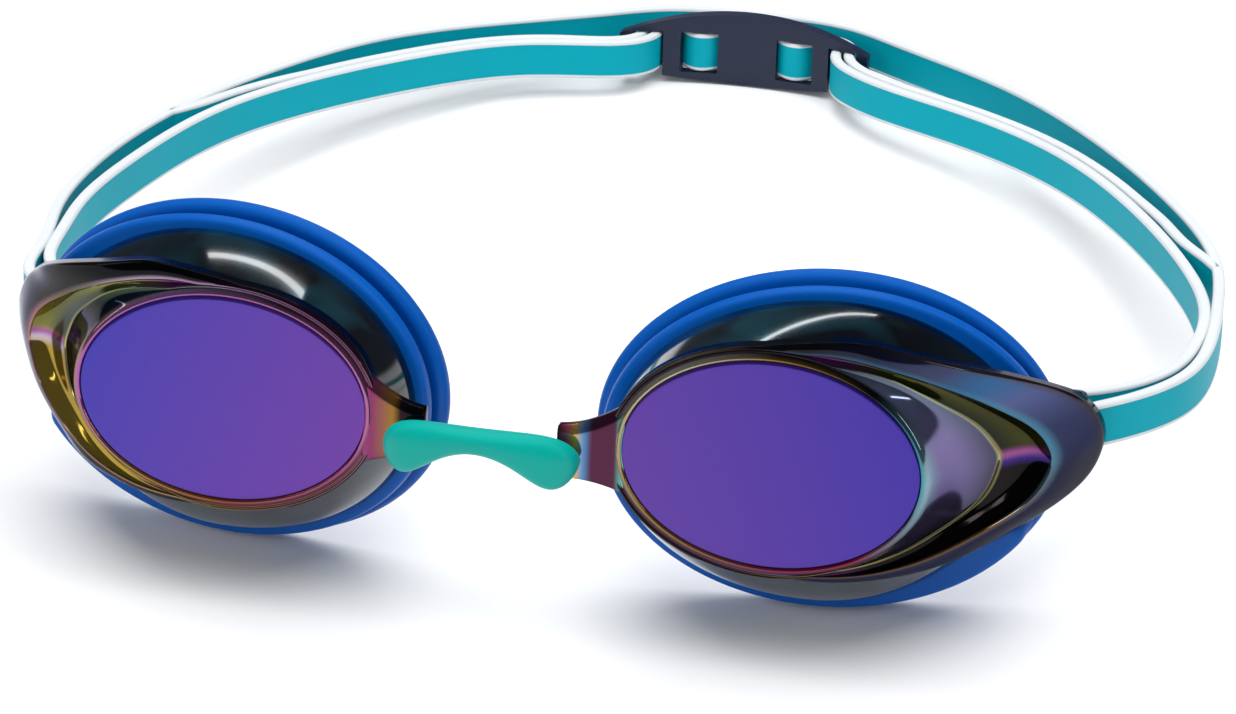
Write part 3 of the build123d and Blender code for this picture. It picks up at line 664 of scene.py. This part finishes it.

# %% [markdown]
# ## Strap
# The strap is a flat silicone band, teal on both faces and white along its edges. Its section is a
# rounded rectangle carried along a path in a nearly level plane. The path of each layer goes through
# a few points. Round the post and inside the clip they are guessed. Along the side of the head they are
# measured, and some were then moved.

# %% Strap paths
CLIP_RUN, CLIP_SHIFT = 125.6, -2.9
HALF_SPAN = {1: 79.1, -1: 76.6}     # the left run lies a little closer in
STRAP_HEIGHT, STRAP_THICKNESS = 5.8, 1.6
TURN_RADIUS = POST_RADIUS + 0.3 + STRAP_THICKNESS / 2
LAYER = STRAP_THICKNESS + 0.3
SPLIT = 50.0                     # behind the posts, where the front loop ends and the rear runs begin
outer_shares = {1: [(0.981, 0.1), (1.0, 0.183), (0.991, 0.299)],
                -1: [(0.952, 0.1), (0.984, 0.2), (0.997, 0.33), (0.972, 0.47)]}
fork_share = {1: (0.962, 0.422), -1: (0.918, 0.593)}
back_shares = {1: [(0.863, 0.573), (0.666, 0.77), (0.475, 0.904)], -1: [(0.834, 0.713), (0.69, 0.852)]}
inner_shares = {1: [(0.957, 0.113), (0.978, 0.185), (0.973, 0.285), (0.918, 0.403), (0.793, 0.567),
                    (0.6, 0.736), (0.394, 0.836)],
                -1: [(0.94, 0.135), (0.958, 0.23), (0.943, 0.39), (0.87, 0.588), (0.738, 0.732),
                     (0.598, 0.836), (0.442, 0.91)]}
inner_to_clip = {1: [(18.2, -10.0), (14.6, -5.1)], -1: [(22.1, -8.6), (15.3, -5.1)]}
inner_in_slot = [(13.7, -1.3), (13.3, 1.6), (11.4, 3.3), (9.6, 1.9), (7.2, 0.2), (4.8, 1.9), (3.4, 3.4)]
branch_to_clip = {1: [(16.3, -4.0)], -1: [(16.5, -3.7)]}
branch_in_slot = [(15.6, -1.2), (15.3, 1.8), (12.4, 4.9), (7.0, 5.9), (3.4, 6.1)]
back_at_clip = {1: [(21.6, 2.2), (14.4, 6.9)], -1: [(21.9, 2.2), (14.4, 6.9)]}


LEAVING = (0.1, 1.6, 3.2)        # first points of each layer, this far along its way from the post
over_the_crown = [(0, 8.6), (-14, 7.0)]


def laid(shares, side):
    """Points from shares of the half span and of the way to the clip."""
    return np.array(shares) * (HALF_SPAN[side], CLIP_RUN)


def by_clip(side, points):
    """Points from the clip's middle and behind its crown."""
    return np.array(points) + (side * CLIP_SHIFT, CLIP_RUN)


def beside(path, distance):
    """Path moved sideways to the right of its direction."""
    along = np.gradient(path, axis=0)
    along /= np.linalg.norm(along, axis=1, keepdims=True)
    return path + np.column_stack([along[:, 1], -along[:, 0]]) * distance


def at_post(offset, ahead):
    """Point beside the post: across the way that both layers leave it, and along that way."""
    d = math.sqrt(0.5)
    return np.array([POST_X + d * (offset + ahead), d * (ahead - offset)])


# %% Strap ribbons
half_h, half_t, corner_r = STRAP_HEIGHT / 2, STRAP_THICKNESS / 2, 0.5
quarter = np.linspace(0, math.pi / 2, 7)
corners = [(half_t - corner_r, half_h - corner_r, 0), (-(half_t - corner_r), half_h - corner_r, 1),
           (-(half_t - corner_r), -(half_h - corner_r), 2), (half_t - corner_r, -(half_h - corner_r), 3)]
section = []
for corner_x, corner_z, number in corners:
    bend_angle = quarter + number * math.pi / 2
    section.append(np.column_stack([corner_x + corner_r * np.cos(bend_angle),
                                    corner_z + corner_r * np.sin(bend_angle)]))
inlay_edge, inlay_step = 2.28, 0.06      # half height of the teal face, and how far it lies below the white
across_face = np.array([inlay_edge + inlay_step, inlay_edge, inlay_edge - inlay_step])
left_face = [(-half_t, z) for z in (*across_face, 0, *-across_face[::-1])]
right_face = [(half_t, -z) for _, z in left_face]
section = np.vstack([section[0], section[1], left_face, section[2], section[3], right_face])
is_teal = (np.abs(section[:, 1]) < inlay_edge + 0.01) & (np.abs(section[:, 0]) > half_t - 0.01)
section[:, 0] += np.where(is_teal, np.sign(section[:, 0]) * -inlay_step, 0)
WHITE, TEAL = linear("d0d4d6"), linear("009cac")


def ribbon(name, path, rise):
    """Band along a path (x, y from the posts), in planes that climb from the posts to a rise at the clip.

    The rise may be one height or one for each point of the path."""
    steps = np.linalg.norm(np.diff(path, axis=0), axis=1)
    at = np.concatenate([[0], np.cumsum(steps)])
    even = np.linspace(0, at[-1], max(40, int(at[-1] / 0.6)))
    even = np.concatenate([[0, 0.03], even[1:-1], at[-1] - np.array([0.03, 0])])
    path = np.column_stack([np.interp(even, at, path[:, c]) for c in (0, 1)])
    rises = np.interp(even, at, np.broadcast_to(rise, at.shape))
    along = np.gradient(path, axis=0)
    along /= np.linalg.norm(along, axis=1, keepdims=True)
    outwards = np.column_stack([along[:, 1], -along[:, 0]])
    plan = path[:, None] + outwards[:, None] * section[None, :, :1]
    lift = np.broadcast_to(section[None, :, 1], plan.shape[:2])
    # close both ends with rings that shrink to the middle line
    shrink = [0.0, 0.97, 1.0]
    caps = [np.concatenate([path[k][None] + (plan[k] - path[k]) * s for s in shrink]).reshape(3, -1, 2)
            for k in (0, -1)]
    plan = np.concatenate([caps[0], plan, caps[1][::-1]])
    lift = np.concatenate([lift[:1] * s for s in shrink] + [lift] + [lift[:1] * s for s in shrink[::-1]])
    tilt = np.arctan2(np.pad(rises, 3, mode="edge") - POST_HEIGHT, CLIP_RUN)[:, None]
    x, y = plan[..., 0], plan[..., 1]
    depth = POST_DEPTH + y * np.cos(tilt) - lift * np.sin(tilt)
    height = POST_HEIGHT + y * np.sin(tilt) + lift * np.cos(tilt)
    tint = np.where(is_teal[None, :, None], TEAL, WHITE) + np.zeros((len(plan), 1, 1))
    return grid_piece(name, to_row(x, depth, height), strap_silicone, closed_columns=True, tint=tint)


OUTER_RISE, INNER_RISE = 1.9, 0.6
FORK_ROOT = 3.0      # the second layer grows out of the outer one this far before the fork
FORK_EARLY = {1: 0.0, -1: 6.0}     # the left fork lies a little closer to the cups
strap = {}
backs = {}
for side in (1, -1):
    word = "right" if side > 0 else "left"
    flip = np.array([side, 1])
    inner_points = np.vstack([[at_post(-TURN_RADIUS + 0.25 * a, a) for a in LEAVING],
                              laid(inner_shares[side], side),
                              by_clip(side, inner_to_clip[side] + inner_in_slot)])
    inner = smooth_path(inner_points, 900)
    outer_points = np.vstack([[at_post(TURN_RADIUS, a) for a in LEAVING],
                              laid(outer_shares[side] + [fork_share[side]] + back_shares[side], side),
                              by_clip(side, back_at_clip[side] + over_the_crown)])
    outer = smooth_path(outer_points, 900)
    swing = np.linspace(-math.pi / 4, -math.pi - math.pi / 4, 40)[1:-1]
    ring_path = np.column_stack([POST_X + TURN_RADIUS * np.cos(swing), TURN_RADIUS * np.sin(swing)])
    outer_split, inner_split = (np.argmax(layer[:, 1] > SPLIT) for layer in (outer, inner))
    front_outer, front_inner = outer[:outer_split], inner[:inner_split]
    loop_path = np.vstack([front_outer[::-1], ring_path, front_inner])
    loop_rise = np.concatenate([np.full(len(front_outer), OUTER_RISE),
                                np.linspace(OUTER_RISE, INNER_RISE, len(ring_path)),
                                np.full(len(front_inner), INNER_RISE)])
    strap[f"{word}_loop"] = ribbon(f"{word}_strap_loop", loop_path * flip, loop_rise)
    strap[f"{word}_inner"] = ribbon(f"{word}_strap_inner", inner[inner_split - 1:] * flip, INNER_RISE)
    backs[side] = outer[outer_split - 1:]
    fork_y = laid([fork_share[side]], side)[0][1] - FORK_EARLY[side]
    along_inner = beside(inner, LAYER)
    follow = along_inner[(along_inner[:, 1] > fork_y + 6) & (along_inner[:, 1] < CLIP_RUN - 7)][::40]
    ahead = outer[:, 1] > fork_y - FORK_ROOT
    past = outer[:, 1] > fork_y
    root = [outer[ahead][0], outer[past][0] * 0.45 + beside(outer, -LAYER)[past][0] * 0.55]
    branch_points = np.vstack([root, follow, by_clip(side, branch_to_clip[side] + branch_in_slot)])
    branch = smooth_path(branch_points, 600)
    branch_rise = np.interp(branch[:, 1], [fork_y, fork_y + 22.0], [OUTER_RISE, INNER_RISE])
    strap[f"{word}_branch"] = ribbon(f"{word}_strap_fork", branch * flip, branch_rise)

keep = lambda p, side: p[: np.argmin(np.abs(p[:, 0] - side * CLIP_SHIFT)) + 1] * np.array([side, 1])
whole_back = np.vstack([keep(backs[1], 1), keep(backs[-1], -1)[::-1][1:]])
strap["back"] = ribbon("strap_back_band", whole_back, OUTER_RISE)

# %% [markdown]
# ## Clip
# The clip is a stiff navy plate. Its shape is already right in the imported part, so it keeps its mesh
# and gets a satin plastic finish and a bevel, which catches a thin line of light along its edges.

# %% Clip finish
navy, add = new_material("satin_navy_plastic")
place = add("ShaderNodeTexCoord")
grain = add("ShaderNodeTexNoise", [(place.outputs["Object"], "Vector")], Scale=1800.0, Detail=3.0)
bump = add("ShaderNodeBump", [(grain.outputs[0], "Height")], Strength=0.08, Distance=0.0001)
tone = add("ShaderNodeMapRange", [(grain.outputs[0], "Value")], To_Min=0.85, To_Max=1.15)
shade = add("ShaderNodeHueSaturation", [(tone.outputs[0], "Value")], Color=(*linear("0c1733"), 1))
plastic = add("ShaderNodeBsdfPrincipled", [(shade.outputs[0], "Base Color"), (bump.outputs[0], "Normal")],
              Roughness=0.45)
finish_with(add, plastic)
clip = frame["nodes"]["strap_clip"]
clip.data.materials.clear()
clip.data.materials.append(navy)
soft_edge = clip.modifiers.new("soft_edge", "BEVEL")
soft_edge.width = 0.3 * MM
soft_edge.segments = 3
soft_edge.limit_method = "ANGLE"
soft_edge.angle_limit = math.radians(40)

# %% [markdown]
# ## What moves with what
# Hard pieces and gaskets ride on their cup, and the soft bridge stays with the middle of the goggles.
# The strap pieces only have their placement applied to their meshes, and ride on no body.

# %% Bodies
for side, word in ((1, "right"), (-1, "left")):
    for piece in (fronts[side], walls[side], panes[side], seals[side], brackets[side], *posts[side]):
        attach(piece, f"{word}_cup")
    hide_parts(f"{word}_frame")
    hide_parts(f"{word}_lens")
    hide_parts(f"{word}_gasket")
    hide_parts(f"{word}_strap_root")
    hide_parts(f"{word}_strap_end")
    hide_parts(f"{word}_strap_branch")
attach(bridge, "bridge")
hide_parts("nose_bridge")
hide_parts("strap_back")
post_y = to_row(POST_X, POST_DEPTH, POST_HEIGHT)[1]
for key, piece in strap.items():
    if key.endswith("loop"):
        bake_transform(piece)
    else:
        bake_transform(piece)

# %% [markdown]
# ## Setting: floor, light and camera
# A white floor and large soft lights, as in a product picture. The flat lenses mirror the floor in
# front of them, which is why they look evenly violet. The camera looks down from the front right.

# %% Floor
white, add = new_material("white_floor")
finish_with(add, add("ShaderNodeBsdfDiffuse", Color=(0.92, 0.92, 0.92, 1)))
FLOOR_HALF = 3.0
floor_mesh = bpy.data.meshes.new("floor")
floor_corners = [(x * FLOOR_HALF, y * FLOOR_HALF, 0) for x, y in ((-1, -1), (1, -1), (1, 1), (-1, 1))]
floor_mesh.from_pydata(floor_corners, [], [(0, 1, 2, 3)])
floor_mesh.materials.append(white)
floor = bpy.data.objects.new("floor", floor_mesh)
bpy.context.scene.collection.objects.link(floor)
floor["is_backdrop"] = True

# %% Lights
world = bpy.data.worlds.new("studio")
world.use_nodes = True
world.node_tree.nodes["Background"].inputs["Color"].default_value = (0.62, 0.75, 1.0, 1)
world.node_tree.nodes["Background"].inputs["Strength"].default_value = 0.1
bpy.context.scene.world = world


def soft_light(name, place, aim, width, height, watts, mirrored=True):
    """Rectangular area light at a place, turned to its aim; it may be kept out of reflections."""
    data = bpy.data.lights.new(name, "AREA")
    data.shape = "RECTANGLE"
    data.size, data.size_y, data.energy = width, height, watts
    lamp = bpy.data.objects.new(name, data)
    lamp.location = place
    lamp.rotation_euler = (Vector(aim) - Vector(place)).to_track_quat("-Z", "Y").to_euler()
    lamp.visible_glossy = mirrored
    bpy.context.scene.collection.objects.link(lamp)
    return lamp


soft_light("top_softbox", (0.05, 0.05, 0.9), (0, 0, 0), 1.4, 1.2, 17, mirrored=False)
soft_light("front_softbox", (-0.3, -0.9, 0.5), (0, 0, 0.02), 0.7, 0.5, 3.5, mirrored=False)
soft_light("back_strip", (-0.15, 0.75, 0.55), (0, 0, 0.02), 0.5, 0.03, 0.45)
soft_light("left_strip", (-0.7, -0.1, 0.4), (0, 0, 0.02), 0.04, 0.5, 0.3)
soft_light("right_strip", (0.75, -0.2, 0.35), (0, 0, 0.02), 0.06, 0.4, 0.6)

# %% Camera
CAMERA_TURN, CAMERA_RISE, CAMERA_AWAY = math.radians(13.81), math.radians(27.15), 662.94
IMAGE_WIDTH, FOCAL = 1236, 5095.35
level = math.cos(CAMERA_RISE)
away = np.array([math.sin(CAMERA_TURN) * level, -math.cos(CAMERA_TURN) * level, math.sin(CAMERA_RISE)])
target = np.array([0, home_y + 60, home_z])
lens_data = bpy.data.cameras.new("camera")
lens_data.sensor_width = 36.0
lens_data.lens = lens_data.sensor_width * FOCAL / IMAGE_WIDTH
lens_data.shift_x, lens_data.shift_y = 0.005, -0.119
lens_data.clip_start = 0.01
camera = bpy.data.objects.new("camera", lens_data)
camera.location = (target + away * CAMERA_AWAY) * MM
camera.rotation_euler = Vector(-away).to_track_quat("-Z", "Y").to_euler()
bpy.context.scene.collection.objects.link(camera)
bpy.context.scene.camera = camera
bpy.context.scene.view_settings.view_transform = "Standard"

# %% Size of the finished model beside the part
low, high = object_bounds()
grown = (*(np.array(cad_low) - low), *(np.array(high) - cad_high))
print("grown by in mm:", [round(v / MM, 2) for v in grown])
